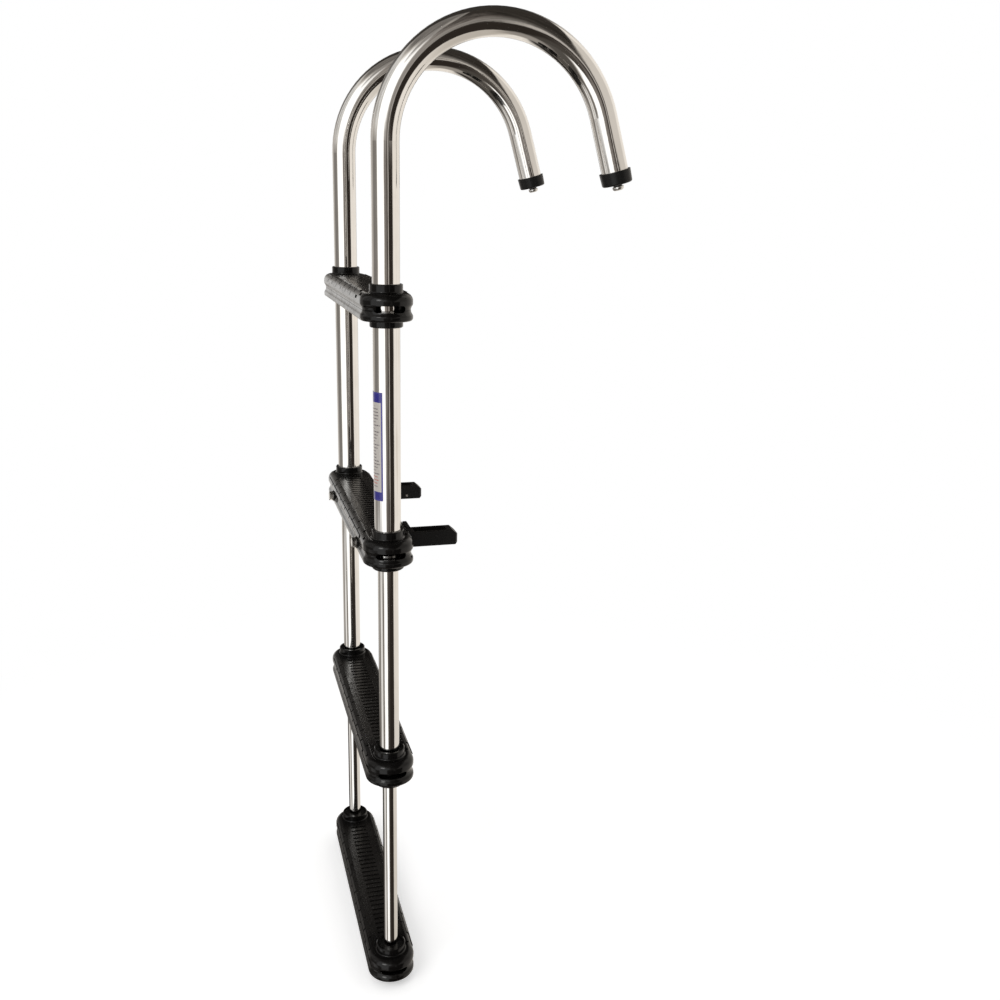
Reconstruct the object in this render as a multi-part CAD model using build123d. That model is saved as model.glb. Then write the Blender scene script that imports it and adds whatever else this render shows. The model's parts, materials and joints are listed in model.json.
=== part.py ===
from build123d import *
import math
import os

# Telescopic boat boarding ladder that hooks over a gunwale.
#
# Frame: +X points from the climbing side towards the boat, +Y to the left of a person who
# faces the boat, +Z up.  The origin is where the ladder hangs: midway between the two hooks,
# at the underside of their crowns.
#
# Three sections slide inside one another.  The upper section has the hooks and steps 1 and
# 2, the middle section carries step 3 and the lower section carries step 4.  All four steps
# are the same moulding in two shells, a tread above and a base below, that meet at the waist.

# ---- Tubes ------------------------------------------------------------------------------
HOOK_TUBE_D = 28.0
MIDDLE_TUBE_D = 22.0
LOWER_TUBE_D = 16.0
TUBE_WALL = 1.5
STILE_SPACING = 294.0
HOOK_BEND_R = 114.0
HOOK_TURN = 164.0
HOOK_TAIL = 65.0

CROWN_Z = HOOK_TUBE_D / 2
BEND_CENTRE_Z = CROWN_Z - HOOK_BEND_R
STILE_X = -HOOK_BEND_R
SIDES = {"left": STILE_SPACING / 2, "right": -STILE_SPACING / 2}

# ---- Steps, in their own frame: z = 0 on the tread, x = 0 and y = 0 at its middle ---------
STEP_PITCH = 256.0
TOP_TREAD_Z = -243.5
STEP_COUNT = 4
STEP_LENGTH = 348.0
STEP_DEPTH = 54.0
SHOULDER_R = 8.0
PARTING_Z = -17.0
BASE_Z = -28.0
BASE_EDGE_R = 3.0
WAIST_DEPTH = 2.2
WAIST_R = 7.0
WAIST_LIP_R = 3.5
PARTING_CHAMFER = 0.25
COLLAR_R = 17.0
COLLAR_TOP_Z = 8.5
COLLAR_BOTTOM_Z = -34.5
COLLAR_FOOT_R = 1.5
COLLAR_CHAMFER = 0.8
TREAD_WALL = 3.5
BASE_WALL = 2.5
SIDE_WALL = 2.2
CAVITY_CORNER_R = 5.0
WEB = 2.5
WEB_PLACES = (25.0, 50.0, 116.0)
SEAT_GAP = 0.05
WINDOW_LENGTH = 32.0
WINDOW_HEIGHT = 7.0
WINDOW_Z = -15.2
SCREW_PLACES = (-75.0, 0.0, 75.0)

# Anti-slip tread: cross grooves along the middle and rows of pads on both shoulders.
TREAD_GROOVES = 27
TREAD_GROOVE_PITCH = 9.0
TREAD_GROOVE_SIZE = (21.0, 3.4, 1.2)
PAD_ROWS = 3
PAD_ANGLE = 22.0
PAD_PITCH = 38.0
PAD_GAP = 3.0
PAD_PROUD = 0.9
PADS_PER_ROW = 7

# ---- Fasteners in the steps ---------------------------------------------------------------
SCREW_R = 1.9
SCREW_HEAD_R = 4.0
SCREW_HEAD_H = 2.2
SCREW_TIP_Z = -8.0
RIVET_R = 2.0
RIVET_HEAD_R = 4.0
RIVET_HEAD_H = 1.5
RIVET_Z = -8.5
RIVET_SEAT_X = 19.0
RIVET_POCKET_R = 4.4
RIVET_BOSS_R = 6.0
HOLE_GAP = 0.05

# ---- Telescope ----------------------------------------------------------------------------
RUNNING_GAP = 0.08
BUSH_LENGTH = 40.0
BUSH_FLANGE = 2.0
BUSH_LIP = 1.5
STOP_GAP = 0.3
REDUCER_TOP_Z = 5.5
REDUCER_SPLIT_Z = (-12.0, -24.0)

# ---- Stand-offs on step 2 -------------------------------------------------------------------
STANDOFF_Y = 100.0
STANDOFF_END_X = 85.5
STANDOFF_WIDTH = 22.0
STANDOFF_Z = (-25.5, -8.5)
STANDOFF_TOP_CHAMFER = (6.0, 5.0)
STANDOFF_BOTTOM_CHAMFER = 3.0
STANDOFF_CORNER_R = 4.0
POCKET_X = (37.0, 73.5)
POCKET_FLOOR_Z = -24.2
POCKET_WALL = 3.5
POCKET_CORNER_R = 4.0
FLANGE_THICK = 4.0
FLANGE_WIDTH = 28.0
FLANGE_TOP_Z = -1.5
FLANGE_CORNER_R = 3.0
BOLT_Z = -19.0
BOLT_R = 3.0
BOLT_LENGTH = 75.0
BOLT_BOSS_R = 7.0
BOLT_PAD_X = 27.4
HEX_FLATS = 10.0
HEX_HEIGHT = 4.0
WASHER_R = 6.2
WASHER_THICK = 1.2
NUT_THICK = 5.0
GRUB_X = 66.0
GRUB_Z = -21.0
GRUB_R = 1.6
GRUB_LENGTH = 3.2

# ---- Hook ends, along the tail of the hook: w = 0 at the end of the tube ---------------------
CAP_R = 16.4
CAP_TIP_R = 15.8
CAP_SKIRT = 10.5
CAP_END = 3.0
CAP_EDGE_R = 2.0
END_WASHER_R = 4.7
END_WASHER_THICK = 2.2
END_HEAD_R = 6.0
END_HEAD_H = 3.8
END_SCREW_R = 2.5
END_INSERT = (-16.0, -4.0)

# ---- Label on the right hook tube -------------------------------------------------------------
LABEL_WRAP = 122.0
LABEL_THICK = 0.25
LABEL_TOP_Z = -343.0
LABEL_HEIGHT = 114.0

# ---- Feet ---------------------------------------------------------------------------------------
FOOT_FLANGE = 3.0
FOOT_SPIGOT = 14.0


# ------------------------------------------------------------------------------------------------
# Basic shapes
# ------------------------------------------------------------------------------------------------

def rod(radius, low, high, x=0.0, y=0.0):
    """Upright cylinder between two heights."""
    solid = Cylinder(radius, high - low, align=(Align.CENTER, Align.CENTER, Align.MIN))
    return Pos(x, y, low) * solid


def rod_x(radius, start, end, y=0.0, z=0.0):
    """Cylinder along X between two places."""
    return Pos(start, y, z) * Rot(0, 90, 0) * rod(radius, 0, end - start)


def ring(outer, inner, low, high, x=0.0, y=0.0):
    return rod(outer, low, high, x, y) - rod(inner, low - 1, high + 1, x, y)


def block(x_range, y_range, z_range):
    """Box between its lowest and highest corner."""
    size = [b - a for a, b in (x_range, y_range, z_range)]
    middle = [(a + b) / 2 for a, b in (x_range, y_range, z_range)]
    return Pos(*middle) * Box(*size)


def stadium(length, depth, low, high):
    """Upright solid whose plan is a slot with round ends, its length along Y."""
    plan = Pos(0, 0, low) * SlotOverall(length, depth, rotation=90)
    return extrude(plan, high - low)


def edges_at(solid, z):
    return solid.edges().filter_by_position(Axis.Z, z - 0.01, z + 0.01)


def group(shapes):
    """Identical loose pieces that share one node."""
    solids = [solid for shape in shapes for solid in shape.solids()]
    return Compound(children=solids)


# ------------------------------------------------------------------------------------------------
# Step moulding
# ------------------------------------------------------------------------------------------------

def arc_through(centre, radius, start, end):
    """Arc round a centre between two angles in degrees."""
    points = []
    for angle in (start, (start + end) / 2, end):
        t = math.radians(angle)
        points.append((centre[0] + radius * math.cos(t), centre[1] + radius * math.sin(t)))
    return ThreePointArc(*points)


def step_outline():
    """Half of a step's cross-section: domed shoulder, smooth waist and rounded lower edge."""
    half = STEP_DEPTH / 2
    both = WAIST_R + WAIST_LIP_R
    rise = math.sqrt(2 * WAIST_DEPTH * both - WAIST_DEPTH**2)
    lean = math.degrees(math.asin(rise / both))
    lip_x, waist_x = half - WAIST_LIP_R, half - WAIST_DEPTH + WAIST_R
    upper_z, lower_z = PARTING_Z + rise, PARTING_Z - rise
    shoulder = arc_through((half - SHOULDER_R, -SHOULDER_R), SHOULDER_R, 90, 0)
    bottom = arc_through((half - BASE_EDGE_R, BASE_Z + BASE_EDGE_R), BASE_EDGE_R, 0, -90)
    return (
        Line((0, 0), shoulder @ 0)
        + shoulder
        + Line(shoulder @ 1, (half, upper_z))
        + arc_through((lip_x, upper_z), WAIST_LIP_R, 0, -lean)
        + arc_through((waist_x, PARTING_Z), WAIST_R, 180 - lean, 180 + lean)
        + arc_through((lip_x, lower_z), WAIST_LIP_R, lean, 0)
        + Line((half, lower_z), bottom @ 0)
        + bottom
        + Line(bottom @ 1, (0, BASE_Z))
        + Line((0, BASE_Z), (0, 0))
    )


def step_blank(low, high):
    """Outer shape of a step between two heights: straight sides and half-round ends."""
    section = make_face(Plane.XZ * step_outline())
    reach = STILE_SPACING / 2
    side = Pos(0, reach, 0) * extrude(section, STILE_SPACING, dir=(0, -1, 0))
    end = Pos(0, reach, 0) * revolve(section, Axis.Z, 180)
    half = side + end
    blank = half + Rot(0, 0, 180) * half
    return blank & block((-STEP_DEPTH, STEP_DEPTH), (-STEP_LENGTH, STEP_LENGTH), (low, high))


def cavity(low, high):
    """Hollow inside both shells."""
    cut = 2 * (WAIST_DEPTH + SIDE_WALL)
    return stadium(STEP_LENGTH - cut, STEP_DEPTH - cut, low, high)


def inner_walls(low, high, screw_boss_r):
    """Stile bosses, screw bosses and webs between two heights, trimmed to the cavity."""
    half = STEP_DEPTH / 2
    walls = [rod(COLLAR_R, low, high, y=y) for y in SIDES.values()]
    walls += [rod(screw_boss_r, low, high, y=y) for y in SCREW_PLACES]
    for y in WEB_PLACES:
        for sign in (1, -1):
            walls.append(block((-half, half), (sign * y - WEB / 2, sign * y + WEB / 2), (low, high)))
    walls.append(block((-WEB / 2, WEB / 2), (-STILE_SPACING / 2, STILE_SPACING / 2), (low, high)))
    return [wall & cavity(low, high) for wall in walls]


def end_windows():
    """Sight slots through both ends at the waist, as deep as the stile bore."""
    depth = COLLAR_R + STEP_DEPTH
    slot = extrude(SlotOverall(WINDOW_LENGTH, WINDOW_HEIGHT), depth)
    return [
        Pos(0, sign * (STILE_SPACING / 2 + LOWER_TUBE_D / 2), WINDOW_Z) * Rot(-90 * sign, 0, 0) * slot
        for sign in (1, -1)
    ]


def shoulder_pads():
    """Staggered rows of raised pads round both long shoulders."""
    centre_x = STEP_DEPTH / 2 - SHOULDER_R
    pads = []
    for row in range(PAD_ROWS):
        middle = 90 * (row + 0.5) / PAD_ROWS
        a, b = (math.radians(middle + sign * PAD_ANGLE / 2) for sign in (-1, 1))
        inner, outer = SHOULDER_R - 0.6, SHOULDER_R + PAD_PROUD
        mid = math.radians(middle)
        corners = [(r * math.cos(t), r * math.sin(t)) for r, t in
                   ((inner, a), (outer, a), (outer, mid), (outer, b), (inner, b))]
        outline = (
            Line(corners[0], corners[1])
            + ThreePointArc(corners[1], corners[2], corners[3])
            + Line(corners[3], corners[4])
            + Line(corners[4], corners[0])
        )
        section = make_face(Plane.XZ * outline)
        stagger = (row % 2) * PAD_PITCH / 2
        first = -(PADS_PER_ROW - 1) * PAD_PITCH / 2 - PAD_PITCH / 4 + stagger
        for i in range(PADS_PER_ROW):
            y = first + i * PAD_PITCH + (PAD_PITCH - PAD_GAP) / 2
            pad = Pos(centre_x, y, -SHOULDER_R) * extrude(section, PAD_PITCH - PAD_GAP)
            pads += [pad, Rot(0, 0, 180) * pad]
    return pads


def bolt_boss(shell_range):
    """Tubes, front pads and rear landings for the stand-off bolts, within one shell's heights."""
    low, high = shell_range
    half = STEP_DEPTH / 2
    keep = block((-2 * half, 2 * half), (-STEP_LENGTH, STEP_LENGTH), (low, high))
    pieces = []
    for y in (STANDOFF_Y, -STANDOFF_Y):
        pieces.append(rod_x(BOLT_BOSS_R, -BOLT_PAD_X, half - 1, y, BOLT_Z) & keep)
        landing = block((half - 5, half), (y - 12, y + 12), (BASE_Z + 1, -SHOULDER_R / 2))
        pieces.append(landing & keep)
    return pieces


def bolt_cuts():
    """Bolt holes, and the flat landings that the stand-off flanges sit on."""
    half = STEP_DEPTH / 2
    reach = FLANGE_WIDTH / 2 + 1
    cuts = []
    for y in (STANDOFF_Y, -STANDOFF_Y):
        cuts.append(rod_x(BOLT_R + HOLE_GAP, -60, 60, y, BOLT_Z))
        cuts.append(block((half, half + 5), (y - reach, y + reach), (BASE_Z, 5)))
    return cuts


def make_tread(with_bolts):
    """Upper shell of a step, with its collars, tread pattern and rivet pockets."""
    shell = step_blank(PARTING_Z, 0)
    shell = chamfer(edges_at(shell, PARTING_Z), PARTING_CHAMFER)
    for y in SIDES.values():
        collar = rod(COLLAR_R, -TREAD_WALL, COLLAR_TOP_Z, y=y)
        shell += chamfer(edges_at(collar, COLLAR_TOP_Z), COLLAR_CHAMFER)
    feet = edges_at(shell, 0).filter_by(GeomType.CIRCLE)
    feet = [edge for edge in feet if abs(edge.radius - COLLAR_R) < 0.01]
    shell = fillet(feet, COLLAR_FOOT_R)

    hollow = cavity(PARTING_Z - 1, -TREAD_WALL)
    shell -= fillet(edges_at(hollow, -TREAD_WALL), CAVITY_CORNER_R)
    shell += inner_walls(PARTING_Z, -TREAD_WALL, SCREW_R + 2.6)
    bosses = [rod_x(RIVET_BOSS_R, HOOK_TUBE_D / 2, STEP_DEPTH / 2 - 3, y, RIVET_Z) for y in SIDES.values()]
    keep = cavity(PARTING_Z, 0)
    shell += [boss & keep for boss in bosses]
    shell += shoulder_pads()
    if with_bolts:
        shell += bolt_boss((PARTING_Z, 0))

    cuts = end_windows()
    cuts += [rod(HOOK_TUBE_D / 2 + SEAT_GAP, -60, 60, y=y) for y in SIDES.values()]
    cuts += [rod(SCREW_R + 0.02, PARTING_Z - 1, SCREW_TIP_Z + 1, y=y) for y in SCREW_PLACES]
    for y in SIDES.values():
        cuts.append(rod_x(RIVET_R + HOLE_GAP, 5, STEP_DEPTH, y, RIVET_Z))
        cuts.append(rod_x(RIVET_POCKET_R, RIVET_SEAT_X, STEP_DEPTH, y, RIVET_Z))
    width, across, deep = TREAD_GROOVE_SIZE
    for i in range(TREAD_GROOVES):
        y = (i - (TREAD_GROOVES - 1) / 2) * TREAD_GROOVE_PITCH
        cuts.append(Pos(0, y, 0) * Box(width, across, 2 * deep))
    if with_bolts:
        cuts += bolt_cuts()
    return shell - cuts


def make_base(with_bolts):
    """Lower shell of a step."""
    shell = step_blank(BASE_Z, PARTING_Z)
    shell = chamfer(edges_at(shell, PARTING_Z), PARTING_CHAMFER)
    for y in SIDES.values():
        collar = rod(COLLAR_R, COLLAR_BOTTOM_Z, BASE_Z + BASE_WALL, y=y)
        shell += chamfer(edges_at(collar, COLLAR_BOTTOM_Z), COLLAR_CHAMFER)

    floor = BASE_Z + BASE_WALL
    shell -= cavity(floor, PARTING_Z + 1)
    shell += inner_walls(floor, PARTING_Z, SCREW_R + 3.4)
    if with_bolts:
        shell += bolt_boss((BASE_Z, PARTING_Z))

    cuts = end_windows()
    cuts += [rod(HOOK_TUBE_D / 2 + SEAT_GAP, -60, 60, y=y) for y in SIDES.values()]
    for y in SCREW_PLACES:
        cuts.append(rod(SCREW_R + 0.2, -60, 0, y=y))
        cuts.append(countersink(y, 0.1))
    if with_bolts:
        cuts += bolt_cuts()
    return shell - cuts


def countersink(y, extra):
    """Conical head of a step screw, or its seat when extra is more than nothing."""
    cone = Cone(SCREW_HEAD_R + extra, SCREW_R + extra, SCREW_HEAD_H,
                align=(Align.CENTER, Align.CENTER, Align.MIN))
    return Pos(0, y, BASE_Z) * cone


def step_screws():
    """Countersunk cross-recess screws, driven from below."""
    screws = []
    for y in SCREW_PLACES:
        screw = countersink(y, 0) + rod(SCREW_R, BASE_Z + SCREW_HEAD_H - 0.1, SCREW_TIP_Z, y=y)
        for size in ((4.4, 1.0), (1.0, 4.4)):
            screw -= Pos(0, y, BASE_Z) * Box(*size, 2.4)
        screws.append(screw)
    return group(screws)


def step_rivets(inner_r):
    """Rivets from the boat side that pin the moulding to each tube."""
    rivets = []
    for y in SIDES.values():
        head = rod_x(RIVET_HEAD_R, RIVET_SEAT_X, RIVET_SEAT_X + RIVET_HEAD_H, y, RIVET_Z)
        far = head.edges().sort_by(Axis.X)[-1]
        head = fillet(far, RIVET_HEAD_H * 0.6)
        rivets.append(head + rod_x(RIVET_R, inner_r, RIVET_SEAT_X + 0.1, y, RIVET_Z))
    return group(rivets)


def rivet_hole(y):
    return rod_x(RIVET_R + HOLE_GAP, 0, STEP_DEPTH / 2, y, RIVET_Z)


def reducers(tube_d):
    """Sleeves that bring the stile bore down to a thinner tube, two on each stile."""
    outer = HOOK_TUBE_D / 2
    inner = tube_d / 2 + 0.02
    upper_low, lower_high = REDUCER_SPLIT_Z
    sleeves = []
    for y in SIDES.values():
        sleeves.append(ring(outer, inner, upper_low, REDUCER_TOP_Z, y=y) - rivet_hole(y))
        sleeves.append(ring(outer, inner, COLLAR_BOTTOM_Z, lower_high, y=y))
    return group(sleeves)


# ------------------------------------------------------------------------------------------------
# Tubes and their bushes.  Local frames are those of the step that holds the tube's lower end.
# ------------------------------------------------------------------------------------------------

def step_z(number):
    return TOP_TREAD_Z - (number - 1) * STEP_PITCH


def place(shape, number):
    """Move a shape from a step's own frame to its place on the ladder."""
    return Pos(STILE_X, 0, step_z(number)) * shape


TUBE_END_Z = COLLAR_BOTTOM_Z + BUSH_FLANGE
GUIDE_TOP_Z = COLLAR_BOTTOM_Z + BUSH_LENGTH
SLIDE_LOW_Z = GUIDE_TOP_Z + STOP_GAP
SLIDE_HIGH_Z = SLIDE_LOW_Z + BUSH_LENGTH


def hook_path():
    """Centreline of a hook tube, from its lower end to the tip of the hook."""
    start = math.radians(180 - HOOK_TURN)
    end_x = HOOK_BEND_R * math.cos(start)
    end_z = BEND_CENTRE_Z + HOOK_BEND_R * math.sin(start)
    bend = CenterArc((0, BEND_CENTRE_Z), HOOK_BEND_R, 180, -HOOK_TURN)
    stile = Line((STILE_X, step_z(2) + TUBE_END_Z), (STILE_X, BEND_CENTRE_Z))
    tip = (end_x + HOOK_TAIL * math.sin(start), end_z - HOOK_TAIL * math.cos(start))
    return Plane.XZ * (stile + bend + Line((end_x, end_z), tip)), tip


def hook_tube(y):
    path, _ = hook_path()
    section = Circle(HOOK_TUBE_D / 2) - Circle(HOOK_TUBE_D / 2 - TUBE_WALL)
    tube = sweep(Pos(STILE_X, 0, step_z(2) + TUBE_END_Z) * section, path)
    tube = Pos(0, y, 0) * tube
    for number in (1, 2):
        tube -= Pos(STILE_X, 0, step_z(number)) * rivet_hole(y)
    return tube


def hook_end(shape, y):
    """Move a shape from the hook's tail frame, where +Z leads out of the tube, to its place."""
    _, (x, z) = hook_path()
    return Pos(x, y, z) * Rot(0, HOOK_TURN, 0) * shape


def hook_end_cap():
    """Black cup over the cut end of the hook."""
    cap = Cone(CAP_R, CAP_TIP_R, CAP_SKIRT + CAP_END, align=(Align.CENTER, Align.CENTER, Align.MIN))
    cap = Pos(0, 0, -CAP_SKIRT) * cap
    cap = fillet(edges_at(cap, CAP_END), CAP_EDGE_R)
    cap -= rod(HOOK_TUBE_D / 2 + SEAT_GAP, -CAP_SKIRT - 1, 0)
    return cap - rod(END_SCREW_R + 0.1, -1, CAP_END + 1)


def hook_end_screw():
    start = CAP_END + END_WASHER_THICK
    head = rod(END_HEAD_R, start, start + END_HEAD_H)
    head = fillet(edges_at(head, start + END_HEAD_H), END_HEAD_H * 0.7)
    head -= Pos(0, 0, start + END_HEAD_H) * Box(5.0, 1.1, 2.8)
    head -= Pos(0, 0, start + END_HEAD_H) * Box(1.1, 5.0, 2.8)
    return head + rod(END_SCREW_R, END_INSERT[0], start + 0.1)


def straight_tube(diameter, y):
    """Stile tube of a sliding section, pinned in its own step."""
    high = STEP_PITCH + SLIDE_HIGH_Z - BUSH_LIP
    return ring(diameter / 2, diameter / 2 - TUBE_WALL, TUBE_END_Z, high, y=y) - rivet_hole(y)


def guide_bush(outer_tube_d, inner_tube_d, y):
    """Flanged bush in the lower end of a tube, which guides the tube inside it."""
    bore = inner_tube_d / 2 + RUNNING_GAP
    bush = ring(outer_tube_d / 2 - TUBE_WALL - 0.02, bore, COLLAR_BOTTOM_Z, GUIDE_TOP_Z, y=y)
    bush += ring(outer_tube_d / 2, bore, COLLAR_BOTTOM_Z, TUBE_END_Z, y=y)
    return bush - rivet_hole(y)


def slide_bush(outer_tube_d, inner_tube_d, y):
    """Bush round the top of a sliding tube.  It stops on the guide bush at full extension."""
    outer = outer_tube_d / 2 - TUBE_WALL - RUNNING_GAP
    low, high = STEP_PITCH + SLIDE_LOW_Z, STEP_PITCH + SLIDE_HIGH_Z
    bush = ring(outer, inner_tube_d / 2 + 0.02, low, high - BUSH_LIP, y=y)
    return bush + ring(outer, inner_tube_d / 2 - TUBE_WALL, high - BUSH_LIP, high, y=y)


def foot_plug(y):
    """Plug with a broad foot that closes the lowest tube."""
    low = COLLAR_BOTTOM_Z - FOOT_FLANGE
    foot = rod(HOOK_TUBE_D / 2, low, COLLAR_BOTTOM_Z, y=y)
    foot = fillet(edges_at(foot, low), 1.0)
    foot += rod(LOWER_TUBE_D / 2, COLLAR_BOTTOM_Z - 0.5, TUBE_END_Z, y=y)
    return foot + rod(LOWER_TUBE_D / 2 - TUBE_WALL - 0.02, TUBE_END_Z - 0.5, TUBE_END_Z + FOOT_SPIGOT, y=y)


# ------------------------------------------------------------------------------------------------
# Stand-offs, in the frame of step 2
# ------------------------------------------------------------------------------------------------

FLANGE_X = STEP_DEPTH / 2
BLOCK_X = FLANGE_X + FLANGE_THICK
BOLT_HEAD_X = -BOLT_PAD_X - WASHER_THICK


def standoff_block(y):
    """Block with a chamfered, rounded tip and a pocket in its top that takes the nut."""
    half_y = STANDOFF_WIDTH / 2
    low, high = STANDOFF_Z
    back, drop = STANDOFF_TOP_CHAMFER
    side = Polyline(
        (BLOCK_X, low), (STANDOFF_END_X - STANDOFF_BOTTOM_CHAMFER, low),
        (STANDOFF_END_X, low + STANDOFF_BOTTOM_CHAMFER), (STANDOFF_END_X, high - drop),
        (STANDOFF_END_X - back, high), (BLOCK_X, high), (BLOCK_X, low),
    )
    body = Pos(0, half_y, 0) * extrude(make_face(Plane.XZ * side), STANDOFF_WIDTH, dir=(0, -1, 0))
    body = fillet(body.edges().filter_by(Axis.X), 1.0)
    plan = block((BLOCK_X - 1, STANDOFF_END_X), (-half_y, half_y), (low - 1, high + 1))
    tip = plan.edges().filter_by(Axis.Z).group_by(Axis.X)[-1]
    body &= fillet(tip, STANDOFF_CORNER_R)
    inner = half_y - POCKET_WALL
    pocket = block(POCKET_X, (-inner, inner), (POCKET_FLOOR_Z, high + 1))
    body -= fillet(pocket.edges().filter_by(Axis.Z).group_by(Axis.X)[-1], POCKET_CORNER_R)
    body = Pos(0, y, 0) * body
    body -= rod_x(BOLT_R + HOLE_GAP, BLOCK_X - 1, POCKET_X[0] + 1, y, BOLT_Z)
    inboard = -1 if y > 0 else 1
    hole = rod(GRUB_R + 0.02, 0, GRUB_LENGTH + 2)
    turn = Rot(90 if inboard > 0 else -90, 0, 0)
    return body - Pos(GRUB_X, y + inboard * (half_y + 0.7), GRUB_Z) * turn * hole


def standoff_flange(y):
    height = FLANGE_TOP_Z - BASE_Z
    plate = RectangleRounded(FLANGE_WIDTH, height, FLANGE_CORNER_R)
    plate = Plane.YZ * (Pos(0, (FLANGE_TOP_Z + BASE_Z) / 2) * plate)
    plate = Pos(FLANGE_X, y, 0) * extrude(plate, FLANGE_THICK)
    return plate - rod_x(BOLT_R + HOLE_GAP, 0, STANDOFF_END_X, y, BOLT_Z)


def standoff_bolt(y):
    head = extrude(RegularPolygon(HEX_FLATS / 2, 6, major_radius=False), HEX_HEIGHT)
    head = chamfer(edges_at(head, HEX_HEIGHT), 0.6)
    head = Pos(BOLT_HEAD_X, y, BOLT_Z) * Rot(0, -90, 0) * head
    return head + rod_x(BOLT_R, BOLT_HEAD_X - 0.5, BOLT_HEAD_X + BOLT_LENGTH, y, BOLT_Z)


def standoff_nut(y):
    """Hexagon nut in the block's pocket, with a flat downwards."""
    nut = extrude(RegularPolygon(HEX_FLATS / 2, 6, major_radius=False, rotation=30), NUT_THICK)
    nut = chamfer(edges_at(nut, NUT_THICK), 0.5)
    nut = Pos(POCKET_X[0], y, BOLT_Z) * Rot(0, 90, 0) * nut
    return nut - rod_x(BOLT_R + 0.02, 0, STANDOFF_END_X, y, BOLT_Z)


def ring_x(outer, inner, start, end, y, z):
    return rod_x(outer, start, end, y, z) - rod_x(inner, start - 1, end + 1, y, z)


def grub_screw(y):
    inboard = -1 if y > 0 else 1
    screw = rod(GRUB_R, 0, GRUB_LENGTH) - extrude(RegularPolygon(0.8, 6, major_radius=False), 1.4)
    turn = Rot(90 if inboard > 0 else -90, 0, 0)
    return Pos(GRUB_X, y + inboard * (STANDOFF_WIDTH / 2 - 0.3), GRUB_Z) * turn * screw


def rating_label():
    """Printed film round the climbing side of the right hook tube."""
    outer = HOOK_TUBE_D / 2 + 0.02 + LABEL_THICK
    low = LABEL_TOP_Z - LABEL_HEIGHT
    film = ring(outer, HOOK_TUBE_D / 2 + 0.02, low, LABEL_TOP_Z)
    reach = 2 * HOOK_TUBE_D
    half = math.radians(LABEL_WRAP / 2)
    wedge = Polyline((0, 0), (-reach * math.cos(half), reach * math.sin(half)), (-3 * reach, 0),
                     (-reach * math.cos(half), -reach * math.sin(half)), (0, 0))
    wedge = extrude(Pos(0, 0, low - 1) * make_face(wedge), LABEL_HEIGHT + 2)
    return Pos(STILE_X, SIDES["right"], 0) * (film & wedge)


# ------------------------------------------------------------------------------------------------
# Assembly: one STEP file for each node
# ------------------------------------------------------------------------------------------------

os.makedirs("parts", exist_ok=True)


def save(name, shape):
    export_step(shape, f"parts/{name}.step")


tread, base = make_tread(False), make_base(False)
bolted_tread, bolted_base = make_tread(True), make_base(True)

HOOK_BORE_R = HOOK_TUBE_D / 2 - TUBE_WALL
rivet_reach = {
    1: HOOK_BORE_R + HOLE_GAP,
    2: MIDDLE_TUBE_D / 2 + 0.2,
    3: LOWER_TUBE_D / 2 + 0.2,
    4: LOWER_TUBE_D / 2 - TUBE_WALL + 0.5,
}
for number in range(1, STEP_COUNT + 1):
    save(f"step_{number}_tread", place(bolted_tread if number == 2 else tread, number))
    save(f"step_{number}_base", place(bolted_base if number == 2 else base, number))
    save(f"step_{number}_screws", place(step_screws(), number))
    save(f"step_{number}_rivets", place(step_rivets(rivet_reach[number]), number))
save("step_3_reducers", place(reducers(MIDDLE_TUBE_D), 3))
save("step_4_reducers", place(reducers(LOWER_TUBE_D), 4))

for side, y in SIDES.items():
    save(f"hook_tube_{side}", hook_tube(y))
    save(f"hook_end_cap_{side}", hook_end(hook_end_cap(), y))
    save(f"guide_bush_upper_{side}", place(guide_bush(HOOK_TUBE_D, MIDDLE_TUBE_D, y), 2))
    save(f"middle_tube_{side}", place(straight_tube(MIDDLE_TUBE_D, y), 3))
    save(f"slide_bush_middle_{side}", place(slide_bush(HOOK_TUBE_D, MIDDLE_TUBE_D, y), 3))
    save(f"guide_bush_lower_{side}", place(guide_bush(MIDDLE_TUBE_D, LOWER_TUBE_D, y), 3))
    save(f"lower_tube_{side}", place(straight_tube(LOWER_TUBE_D, y), 4))
    save(f"slide_bush_lower_{side}", place(slide_bush(MIDDLE_TUBE_D, LOWER_TUBE_D, y), 4))
    save(f"foot_plug_{side}", place(foot_plug(y), 4))

end_washer = ring(END_WASHER_R, END_SCREW_R + 0.1, CAP_END, CAP_END + END_WASHER_THICK)
end_insert = ring(HOOK_BORE_R - 0.1, END_SCREW_R + 0.02, *END_INSERT)
for name, piece in {
    "hook_end_washers": end_washer,
    "hook_end_screws": hook_end_screw(),
    "hook_end_inserts": end_insert,
}.items():
    save(name, group([hook_end(piece, y) for y in SIDES.values()]))

standoffs = {"left": STANDOFF_Y, "right": -STANDOFF_Y}
for side, y in standoffs.items():
    save(f"standoff_block_{side}", place(standoff_block(y), 2))
    save(f"standoff_flange_{side}", place(standoff_flange(y), 2))
places = standoffs.values()
washers = [ring_x(WASHER_R, BOLT_R + 0.2, BOLT_HEAD_X, -BOLT_PAD_X, y, BOLT_Z) for y in places]
save("standoff_bolts", group([place(standoff_bolt(y), 2) for y in places]))
save("standoff_washers", group([place(washer, 2) for washer in washers]))
save("standoff_nuts", group([place(standoff_nut(y), 2) for y in places]))
save("standoff_grub_screws", group([place(grub_screw(y), 2) for y in places]))
save("rating_label", rating_label())
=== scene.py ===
import json
import math

import bpy
from mathutils import Matrix, Vector


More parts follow.
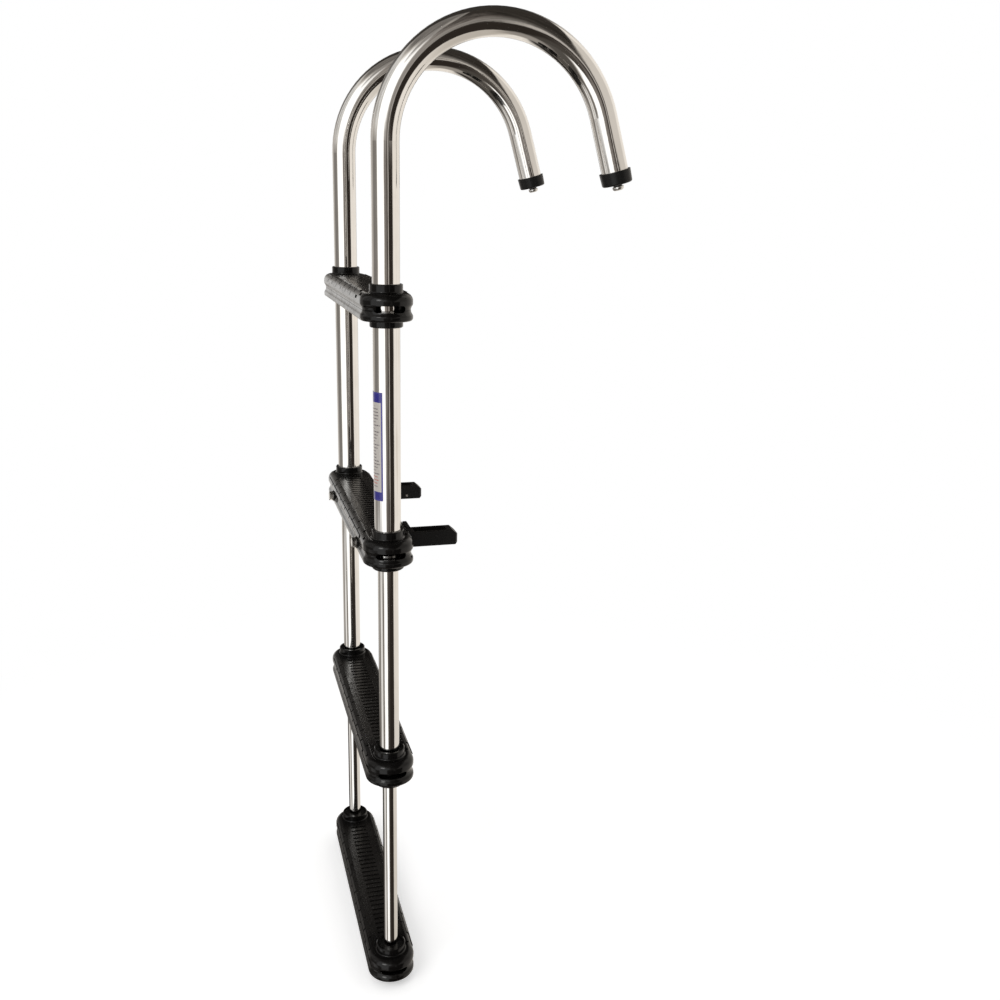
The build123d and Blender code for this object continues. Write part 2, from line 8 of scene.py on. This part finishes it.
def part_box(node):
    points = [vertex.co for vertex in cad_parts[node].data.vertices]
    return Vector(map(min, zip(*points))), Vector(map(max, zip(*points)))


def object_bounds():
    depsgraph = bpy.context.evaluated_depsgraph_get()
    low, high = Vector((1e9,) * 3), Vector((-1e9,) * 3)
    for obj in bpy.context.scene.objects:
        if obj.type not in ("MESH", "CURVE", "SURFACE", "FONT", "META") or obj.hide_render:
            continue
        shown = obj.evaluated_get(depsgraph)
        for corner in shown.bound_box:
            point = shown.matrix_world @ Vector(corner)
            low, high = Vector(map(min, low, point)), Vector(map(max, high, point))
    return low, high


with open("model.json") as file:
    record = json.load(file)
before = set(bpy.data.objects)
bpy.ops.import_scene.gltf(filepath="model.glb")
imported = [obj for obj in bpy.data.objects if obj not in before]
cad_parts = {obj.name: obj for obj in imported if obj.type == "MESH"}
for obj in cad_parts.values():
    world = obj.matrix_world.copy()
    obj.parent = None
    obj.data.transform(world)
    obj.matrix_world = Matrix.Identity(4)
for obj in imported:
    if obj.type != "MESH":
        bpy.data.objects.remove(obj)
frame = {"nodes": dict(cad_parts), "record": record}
cad_box = [list(v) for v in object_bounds()]
nodes = frame["nodes"]

STILE_X = -0.114          # axis of the stiles, in metres
STILE_Y = 0.147           # either side of the middle
BEND_CENTRE_Z = -0.100    # where the stiles end and the hooks' bend begins

# ---------------------------------------------------------------- node helpers


def link(tree, a, b):
    tree.links.new(a, b)


def new_material(name):
    m = bpy.data.materials.new(name)
    m.use_nodes = True
    t = m.node_tree
    t.nodes.clear()
    out = t.nodes.new("ShaderNodeOutputMaterial")
    b = t.nodes.new("ShaderNodeBsdfPrincipled")
    link(t, b.outputs["BSDF"], out.inputs["Surface"])
    return m, t, b


def coords(t, scale=(1, 1, 1)):
    """Object coordinates, with the pattern drawn out along an axis whose scale is under 1."""
    c = t.nodes.new("ShaderNodeTexCoord")
    mp = t.nodes.new("ShaderNodeMapping")
    mp.inputs["Scale"].default_value = scale
    link(t, c.outputs["Object"], mp.inputs["Vector"])
    return mp.outputs["Vector"]


def parts_of(t, kind):
    """X, Y and Z of the Object or Normal coordinates."""
    c = t.nodes.new("ShaderNodeTexCoord")
    s = t.nodes.new("ShaderNodeSeparateXYZ")
    link(t, c.outputs[kind], s.inputs["Vector"])
    return s.outputs["X"], s.outputs["Y"], s.outputs["Z"]


def joined(t, *xyz):
    v = t.nodes.new("ShaderNodeCombineXYZ")
    for key, value in zip("XYZ", xyz):
        link(t, value, v.inputs[key])
    return v.outputs["Vector"]


def noise(t, vec, scale, detail=3.0, rough=0.55):
    n = t.nodes.new("ShaderNodeTexNoise")
    n.inputs["Scale"].default_value = scale
    n.inputs["Detail"].default_value = detail
    n.inputs["Roughness"].default_value = rough
    link(t, vec, n.inputs["Vector"])
    return n.outputs["Fac"]


def remap(t, value, a, b, c, d, smooth=True):
    """Take the range a to b to the range c to d, and hold the ends."""
    r = t.nodes.new("ShaderNodeMapRange")
    r.interpolation_type = "SMOOTHSTEP" if smooth else "LINEAR"
    for k, v in zip(("From Min", "From Max", "To Min", "To Max"), (a, b, c, d)):
        r.inputs[k].default_value = v
    link(t, value, r.inputs["Value"])
    return r.outputs["Result"]


def math_node(t, op, a, b=None):
    n = t.nodes.new("ShaderNodeMath")
    n.operation = op
    for i, v in enumerate((a, b)):
        if isinstance(v, (int, float)):
            n.inputs[i].default_value = v
        elif v is not None:
            link(t, v, n.inputs[i])
    return n.outputs[0]


def times(t, *values):
    total = values[0]
    for v in values[1:]:
        total = math_node(t, "MULTIPLY", total, v)
    return total


def mix_colour(t, fac, a, b):
    n = t.nodes.new("ShaderNodeMix")
    n.data_type = "RGBA"
    for key, v in ((0, fac), (6, a), (7, b)):
        if isinstance(v, (int, float)):
            n.inputs[key].default_value = v
        elif isinstance(v, tuple):
            n.inputs[key].default_value = (*v, 1)
        else:
            link(t, v, n.inputs[key])
    return n.outputs[2]


def bump(t, b, height, distance, strength=1.0, after=None):
    """Bump of a height in metres, on top of another one if after is given."""
    n = t.nodes.new("ShaderNodeBump")
    n.inputs["Strength"].default_value = strength
    n.inputs["Distance"].default_value = distance
    link(t, height, n.inputs["Height"])
    if after is not None:
        link(t, after, n.inputs["Normal"])
    if b is not None:
        link(t, n.outputs["Normal"], b.inputs["Normal"])
    return n.outputs["Normal"]


# ---------------------------------------------------------------- materials


def along_the_tube(t, slow):
    """Object coordinates unrolled round the hook's bend, with Z slowed down to draw streaks along the tube."""
    x, y, z = parts_of(t, "Object")
    rise = math_node(t, "MAXIMUM", math_node(t, "SUBTRACT", z, BEND_CENTRE_Z), 0.0)
    square = math_node(t, "ADD", times(t, x, x), times(t, rise, rise))
    return joined(t, math_node(t, "SQRT", square), y, times(t, z, slow))


def stainless():
    """Polished tube with drawn streaks along it, finger smudges and a few brown water lines."""
    m, t, b = new_material("polished_stainless_tube")
    b.inputs["Metallic"].default_value = 1.0
    v = along_the_tube(t, 0.03)
    lines = noise(t, v, 800, 4)
    water = noise(t, v, 230, 3, 0.6)
    smudge = noise(t, coords(t), 22, 4, 0.6)
    steel = mix_colour(t, remap(t, smudge, 0.35, 0.7, 0, 1), (0.80, 0.785, 0.762), (0.76, 0.742, 0.712))
    steel = mix_colour(t, remap(t, water, 0.60, 0.74, 0, 0.55), steel, (0.56, 0.51, 0.45))
    link(t, steel, b.inputs["Base Color"])
    drawn = remap(t, lines, 0.3, 0.75, 0.025, 0.085)
    greasy = remap(t, smudge, 0.45, 0.8, 0.0, 0.06)
    link(t, math_node(t, "ADD", drawn, greasy), b.inputs["Roughness"])
    broad = bump(t, None, water, 0.00012, 0.3)
    bump(t, b, lines, 0.00004, 0.35, after=broad)
    return m


def fastener():
    m, t, b = new_material("bright_fastener_steel")
    b.inputs["Metallic"].default_value = 1.0
    grain = noise(t, coords(t), 1400, 3)
    link(t, mix_colour(t, grain, (0.74, 0.73, 0.71), (0.62, 0.61, 0.59)), b.inputs["Base Color"])
    link(t, remap(t, grain, 0.3, 0.7, 0.16, 0.30), b.inputs["Roughness"])
    bump(t, b, grain, 0.00003, 0.3)
    return m


def step_plastic():
    """Near-black moulded nylon: smooth and glossy at the ends, duller, dustier and scuffed where feet go."""
    m, t, b = new_material("moulded_step_plastic")
    grain = noise(t, coords(t), 1500, 2)
    flow = noise(t, coords(t, (1, 0.25, 2.2)), 60, 4, 0.6)
    dust = noise(t, coords(t), 14, 6, 0.66)
    scuffs = noise(t, coords(t, (1, 1, 0.35)), 420, 4, 0.7)
    runs = noise(t, coords(t, (1, 1, 0.10)), 190, 3, 0.6)
    faces_up = remap(t, parts_of(t, "Normal")[2], 0.4, 0.95, 0, 1)
    off_middle = math_node(t, "ABSOLUTE", parts_of(t, "Object")[1])
    worn = remap(t, off_middle, 0.105, 0.135, 1, 0)               # 1 between the stiles, 0 round them
    film = times(t, faces_up, remap(t, dust, 0.30, 0.75, 0.25, 1.0))
    black = mix_colour(t, remap(t, flow, 0.35, 0.7, 0, 1), (0.0045, 0.0042, 0.0040), (0.0085, 0.0078, 0.0072))
    black = mix_colour(t, film, black, (0.017, 0.0155, 0.014))
    link(t, mix_colour(t, worn, (0.0035, 0.0032, 0.0030), black), b.inputs["Base Color"])
    rough = remap(t, flow, 0.3, 0.75, 0.11, 0.18)
    rough = math_node(t, "ADD", rough, times(t, film, 0.14))
    marks = times(t, worn, remap(t, runs, 0.48, 0.72, 0.01, 0.17))
    link(t, math_node(t, "ADD", rough, marks), b.inputs["Roughness"])
    b.inputs["Specular IOR Level"].default_value = 0.24
    waves = bump(t, None, flow, 0.0002, 0.2)
    depth = times(t, scuffs, remap(t, worn, 0, 1, 0.25, 1.5))
    scratched = bump(t, None, depth, 0.00014, 0.4, after=waves)
    bump(t, b, grain, 0.00004, 0.25, after=scratched)
    return m


def fitting_plastic(name, rough, grit, level):
    """Black moulding, from its least roughness, the depth of its grain in metres and its specular level."""
    m, t, b = new_material(name)
    grain = noise(t, coords(t), 900, 3)
    cloud = noise(t, coords(t), 30, 4)
    link(t, mix_colour(t, cloud, (0.0045, 0.0045, 0.0045), (0.010, 0.0095, 0.009)), b.inputs["Base Color"])
    link(t, remap(t, grain, 0.3, 0.7, rough, rough + 0.1), b.inputs["Roughness"])
    b.inputs["Specular IOR Level"].default_value = level
    bump(t, b, grain, grit, 0.4)
    return m


def acetal():
    m, t, b = new_material("natural_acetal")
    cloud = noise(t, coords(t), 45, 3)
    link(t, mix_colour(t, cloud, (0.80, 0.79, 0.74), (0.86, 0.85, 0.81)), b.inputs["Base Color"])
    link(t, remap(t, cloud, 0.3, 0.7, 0.30, 0.42), b.inputs["Roughness"])
    b.inputs["Subsurface Weight"].default_value = 0.15
    b.inputs["Subsurface Scale"].default_value = 0.002
    return m


def rubber():
    m, t, b = new_material("well_nut_rubber")
    cloud = noise(t, coords(t), 260, 3)
    link(t, mix_colour(t, cloud, (0.018, 0.018, 0.018), (0.034, 0.033, 0.032)), b.inputs["Base Color"])
    link(t, remap(t, cloud, 0.3, 0.7, 0.6, 0.75), b.inputs["Roughness"])
    bump(t, b, cloud, 0.0001, 0.4)
    return m


def label_print():
    """Pale film with a blue border, a plain blue block at each end and rows of short generic dashes."""
    radius = 14.2                              # of the film, in millimetres
    half = math.radians(61) * radius           # its half width round the tube
    row_pitch = 3.4
    lo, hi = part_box("rating_label")
    height = (hi.z - lo.z) * 1000
    m, t, b = new_material("printed_label_film")
    x, y, z = parts_of(t, "Object")
    # millimetres round the tube from its climbing side, and up from the film's lower edge
    towards_climber = math_node(t, "SUBTRACT", STILE_X, x)
    sideways = math_node(t, "SUBTRACT", y, -STILE_Y)
    arc = times(t, math_node(t, "ARCTAN2", sideways, towards_climber), radius)
    z = times(t, math_node(t, "SUBTRACT", z, lo.z), 1000.0)

    def inside(v, low, high, soft=0.12):
        rising = remap(t, v, low - soft, low + soft, 0, 1, False)
        falling = remap(t, v, high - soft, high + soft, 1, 0, False)
        return times(t, rising, falling)

    rim = times(t, inside(arc, -half + 1.6, half - 1.6), inside(z, 1.6, height - 1.6))
    blocks = math_node(t, "ADD", inside(z, 1.5, 9.5), inside(z, height - 10.5, height - 1.5))
    film = mix_colour(t, rim, (0.035, 0.030, 0.21), (0.44, 0.41, 0.38))
    film = mix_colour(t, blocks, film, (0.016, 0.013, 0.18))
    # rows of dashes, each row with a length of its own
    row = times(t, z, 1 / row_pitch)
    in_row = inside(math_node(t, "FRACT", row), 0.30, 0.62, 0.05)
    scatter = times(t, math_node(t, "SINE", times(t, math_node(t, "FLOOR", row), 12.9)), 43.7)
    end = remap(t, math_node(t, "FRACT", scatter), 0, 1, 5.0, half - 3.0, False)
    to_end = math_node(t, "SUBTRACT", end, math_node(t, "ABSOLUTE", arc))
    dash = times(t, remap(t, to_end, -0.1, 0.1, 0, 1, False), in_row)
    space = inside(math_node(t, "FRACT", times(t, arc, 0.29)), 0.80, 0.96, 0.04)
    dash = times(t, dash, math_node(t, "SUBTRACT", 1.0, space), inside(z, 13.0, height - 14.0))
    ink = mix_colour(t, inside(z, 16.0, 26.0), (0.055, 0.04, 0.06), (0.38, 0.06, 0.04))
    link(t, mix_colour(t, times(t, dash, 0.85), film, ink), b.inputs["Base Color"])
    b.inputs["Roughness"].default_value = 0.22
    b.inputs["Coat Weight"].default_value = 0.4
    b.inputs["Coat Roughness"].default_value = 0.12
    return m


finishes = {
    "polished_stainless": stainless(),
    "stainless_fasteners": fastener(),
    "black_step_plastic": step_plastic(),
    "black_fitting_plastic": fitting_plastic("satin_fitting_plastic", 0.24, 0.00006, 0.25),
    "white_acetal": acetal(),
    "rubber_insert": rubber(),
    "printed_label": label_print(),
}
cap_vinyl = fitting_plastic("cap_vinyl", 0.26, 0.00002, 0.2)
slots = {p["node"]: p["material_slot"] for p in frame["record"]["subparts"]}
for name, obj in nodes.items():
    finish = cap_vinyl if name.startswith("hook_end_cap") else finishes[slots[name]]
    for slot in obj.material_slots:
        slot.material = finish

# ---------------------------------------------------------------- studio
# The polished tubes show the room, so it has walls of soft-edged patches, by azimuth and elevation in
# degrees. Azimuth 0 is the boat side (+X), 90 is +Y and 180 the climbing side.

scene = bpy.context.scene
scene.view_settings.view_transform = "Standard"

world = bpy.data.worlds.new("studio")
scene.world = world
world.use_nodes = True
world.cycles.sampling_method = "NONE"      # diffuse rays see an even grey, so plain rays are enough
t = world.node_tree
t.nodes.clear()
out = t.nodes.new("ShaderNodeOutputWorld")
bg = t.nodes.new("ShaderNodeBackground")
link(t, bg.outputs["Background"], out.inputs["Surface"])
tc = t.nodes.new("ShaderNodeTexCoord")
sep = t.nodes.new("ShaderNodeSeparateXYZ")
link(t, tc.outputs["Generated"], sep.inputs["Vector"])
angle = math_node(t, "ARCTAN2", sep.outputs["Y"], sep.outputs["X"])    # from +X towards +Y
sine_up = sep.outputs["Z"]                                            # sine of the elevation


def turn(start, stop, soft):
    """Mask of the azimuths between start and stop."""
    mid, half, soft = (math.radians(a) for a in ((start + stop) / 2, (stop - start) / 2, soft))
    nearness = math_node(t, "COSINE", math_node(t, "SUBTRACT", angle, mid))
    return remap(t, nearness, math.cos(min(half + soft, math.pi)), math.cos(max(half - soft, 0)), 0, 1)


def above(deg, soft):
    """Mask of the elevations above deg."""
    lo, hi = (math.sin(math.radians(max(-90, min(90, deg + k * soft)))) for k in (-1, 1))
    return remap(t, sine_up, lo, hi, 0, 1)


def opposite(mask):
    return math_node(t, "SUBTRACT", 1.0, mask)


def patch(under, azimuths, soft_turn, low, high, soft_tier, colour):
    """Lay a soft-edged patch of wall over what is there. From -90 or up to 90, it has no edge there."""
    mask = turn(*azimuths, soft_turn)
    if low > -90:
        mask = times(t, mask, above(low, soft_tier))
    if high < 90:
        mask = times(t, mask, opposite(above(high, soft_tier)))
    return mix_colour(t, mask, under, colour)


BEIGE = (1.08, 1.02, 0.94)
WHITE = (1.45, 1.45, 1.44)
LAMP = (9.0, 9.0, 8.8)
BLACK = (0.030, 0.024, 0.020)
BACKDROP = (0.045, 0.04, 0.036)

# streaks that run up the walls
across = joined(
    t,
    times(t, math_node(t, "COSINE", angle), 9.0),
    times(t, math_node(t, "SINE", angle), 9.0),
    times(t, sine_up, 1.2),
)
streaks = remap(t, noise(t, across, 1.6, 4, 0.7), 0.36, 0.64, 0, 1)


def streaked(dark, light):
    return mix_colour(t, streaks, dark, light)


# boat side, and its floor
sky = streaked((0.90, 0.84, 0.77), BEIGE)
sky = patch(sky, (-70, 60), 12, -90, -34, 22, (0.60, 0.55, 0.49))
# far end: a dark backdrop, a bright slit beside it, dark ground and grey walls
sky = patch(sky, (64, 92), 8, -10, 90, 6, BACKDROP)
sky = patch(sky, (96, 114), 4, -15, 6, 6, (1.2, 1.18, 1.15))
sky = patch(sky, (90, 180), 8, -90, -22, 8, (0.026, 0.023, 0.021))
sky = patch(sky, (116, 134), 8, -24, 90, 6, (0.48, 0.45, 0.42))
sky = patch(sky, (96, 118), 6, 7, 90, 6, (0.34, 0.32, 0.30))
sky = patch(sky, (90, 138), 8, 15, 90, 6, (0.17, 0.16, 0.15))
# climbing side: a grey wall, a wide window with a lamp in it, and the floor under them
sky = patch(sky, (140, 192), 9, -48, 10, 8, streaked((0.19, 0.175, 0.16), (0.30, 0.28, 0.26)))
sky = patch(sky, (134, 192), 9, 10, 50, 8, streaked((0.40, 0.38, 0.35), (1.0, 0.99, 0.97)))
sky = patch(sky, (193, 249), 4, -40, 47, 6, WHITE)
sky = patch(sky, (236, 262), 10, 34, 55, 6, (0.33, 0.31, 0.29))
sky = patch(sky, (240, 260), 8, 6, 32, 8, WHITE)
sky = patch(sky, (221, 234), 5, 17, 33, 5, LAMP)
sky = patch(sky, (163, 188), 5, -50, -17, 4, (0.95, 0.93, 0.90))
sky = patch(sky, (193, 211), 5, -50, -17, 4, (0.20, 0.18, 0.16))
sky = patch(sky, (110, 262), 10, -90, -42, 6, (0.10, 0.09, 0.08))
# near end: dark, with a lighter shelf and a thin bright post
side = streaked((0.11, 0.095, 0.085), (0.30, 0.27, 0.245))
sky = patch(sky, (250, 321), 3, -90, 6, 5, side)
sky = patch(sky, (250, 275), 3, -90, -17, 5, (0.07, 0.06, 0.052))
sky = patch(sky, (263, 310), 6, 6, 90, 5, side)
sky = patch(sky, (263, 310), 6, 34, 90, 8, streaked((0.05, 0.043, 0.037), (0.12, 0.105, 0.095)))
sky = patch(sky, (262, 292), 6, 7, 21, 4, (0.33, 0.305, 0.28))
sky = patch(sky, (273, 320.5), 4, -90, 5, 4, BLACK)
sky = patch(sky, (250, 268), 5, -70, -27, 7, (0.075, 0.066, 0.057))
sky = patch(sky, (268, 320.5), 5, -62, -27, 7, BLACK)
sky = patch(sky, (280, 285), 2, -17, 6, 4, (0.55, 0.51, 0.47))
# the boat side's bright wall ends above at a straight slanting edge, with the ceiling beyond it
slant = t.nodes.new("ShaderNodeVectorMath")
slant.operation = "DOT_PRODUCT"
slant.inputs[1].default_value = (-0.728, -0.204, 0.655)
link(t, tc.outputs["Generated"], slant.inputs[0])
past_edge = remap(t, slant.outputs["Value"], -0.03, 0.03, 0, 1)
ceiling = streaked((0.020, 0.017, 0.014), (0.060, 0.052, 0.045))
sky = mix_colour(t, times(t, past_edge, turn(-74, 60, 7), above(5, 2)), sky, ceiling)
short_of_edge = times(t, opposite(past_edge), turn(-68, 0, 3), above(4, 2))
sky = mix_colour(t, short_of_edge, sky, (0.74, 0.69, 0.63))
# ceiling: grey over the window, dark elsewhere
sky = patch(sky, (128, 258), 12, 52, 90, 7, streaked((0.13, 0.12, 0.11), (0.27, 0.25, 0.23)))
sky = patch(sky, (258, 400), 10, 62, 90, 8, ceiling)
sky = patch(sky, (40, 128), 10, 34, 90, 8, (0.04, 0.036, 0.032))
# floor straight under
sky = mix_colour(t, opposite(above(-74, 8)), sky, (0.34, 0.31, 0.28))
# only glossy rays see the room: matt surfaces get an even light, and the background is white
lp = t.nodes.new("ShaderNodeLightPath")
even = mix_colour(t, lp.outputs["Is Diffuse Ray"], sky, (0.62, 0.615, 0.61))
link(t, mix_colour(t, lp.outputs["Is Camera Ray"], even, (1, 1, 1)), bg.inputs["Color"])


def floor_disc(radius, sides, below):
    """Pale floor with a soft contact shadow near the ladder, which fades to plain white outwards."""
    z = cad_box[0][2] - below
    corners = [2 * math.pi * i / sides for i in range(sides)]
    me = bpy.data.meshes.new("studio_floor")
    me.from_pydata([(radius * math.cos(a), radius * math.sin(a), z) for a in corners], [], [tuple(range(sides))])
    o = bpy.data.objects.new("studio_floor", me)
    scene.collection.objects.link(o)
    o.visible_glossy = False
    m = bpy.data.materials.new("pale_floor")
    m.use_nodes = True
    me.materials.append(m)
    ft = m.node_tree
    ft.nodes.clear()
    surface = ft.nodes.new("ShaderNodeOutputMaterial")
    matt = ft.nodes.new("ShaderNodeBsdfDiffuse")
    matt.inputs["Color"].default_value = (0.9, 0.9, 0.9, 1)
    lift = ft.nodes.new("ShaderNodeEmission")
    lift.inputs["Strength"].default_value = 0.42
    shaded = ft.nodes.new("ShaderNodeAddShader")
    link(ft, matt.outputs["BSDF"], shaded.inputs[0])
    link(ft, lift.outputs["Emission"], shaded.inputs[1])
    white = ft.nodes.new("ShaderNodeEmission")
    white.inputs["Color"].default_value = (1, 1, 1, 1)
    x, y, _ = parts_of(ft, "Object")
    distance = math_node(ft, "SQRT", math_node(ft, "ADD", times(ft, x, x), times(ft, y, y)))
    mx = ft.nodes.new("ShaderNodeMixShader")
    link(ft, remap(ft, distance, 0.35, 1.1, 0, 1), mx.inputs["Fac"])
    link(ft, shaded.outputs["Shader"], mx.inputs[1])
    link(ft, white.outputs["Emission"], mx.inputs[2])
    link(ft, mx.outputs["Shader"], surface.inputs["Surface"])


floor_disc(14.0, 64, 0.0006)

softbox_data = bpy.data.lights.new("key_softbox", "AREA")
softbox_data.shape = "RECTANGLE"
softbox_data.size = 1.4
softbox_data.size_y = 1.4
softbox_data.energy = 22
softbox = bpy.data.objects.new("key_softbox", softbox_data)
softbox.location = (-1.7, -1.6, 1.0)
aim = Vector((-0.1, 0, -0.6)) - softbox.location
softbox.rotation_euler = aim.to_track_quat("-Z", "Y").to_euler()
softbox.visible_glossy = False
softbox.visible_camera = False
scene.collection.objects.link(softbox)

# ---------------------------------------------------------------- camera

yaw, pitch, roll = (math.radians(a) for a in (15.99, 15.33, 1.22))
forward = Vector((math.sin(yaw) * math.cos(pitch), math.cos(yaw) * math.cos(pitch), -math.sin(pitch)))
level_right = Vector((math.cos(yaw), -math.sin(yaw), 0))
level_up = level_right.cross(forward)
right = level_right * math.cos(roll) + level_up * math.sin(roll)
up = level_up * math.cos(roll) - level_right * math.sin(roll)
cam_data = bpy.data.cameras.new("camera")
cam_data.lens = 38.62
cam_data.sensor_width = 36
cam = bpy.data.objects.new("camera", cam_data)
scene.collection.objects.link(cam)
place = Matrix((right, up, -forward)).transposed().to_4x4()
place.translation = Vector((-0.3003, -1.2272, -0.1578))
cam.matrix_world = place
scene.camera = cam
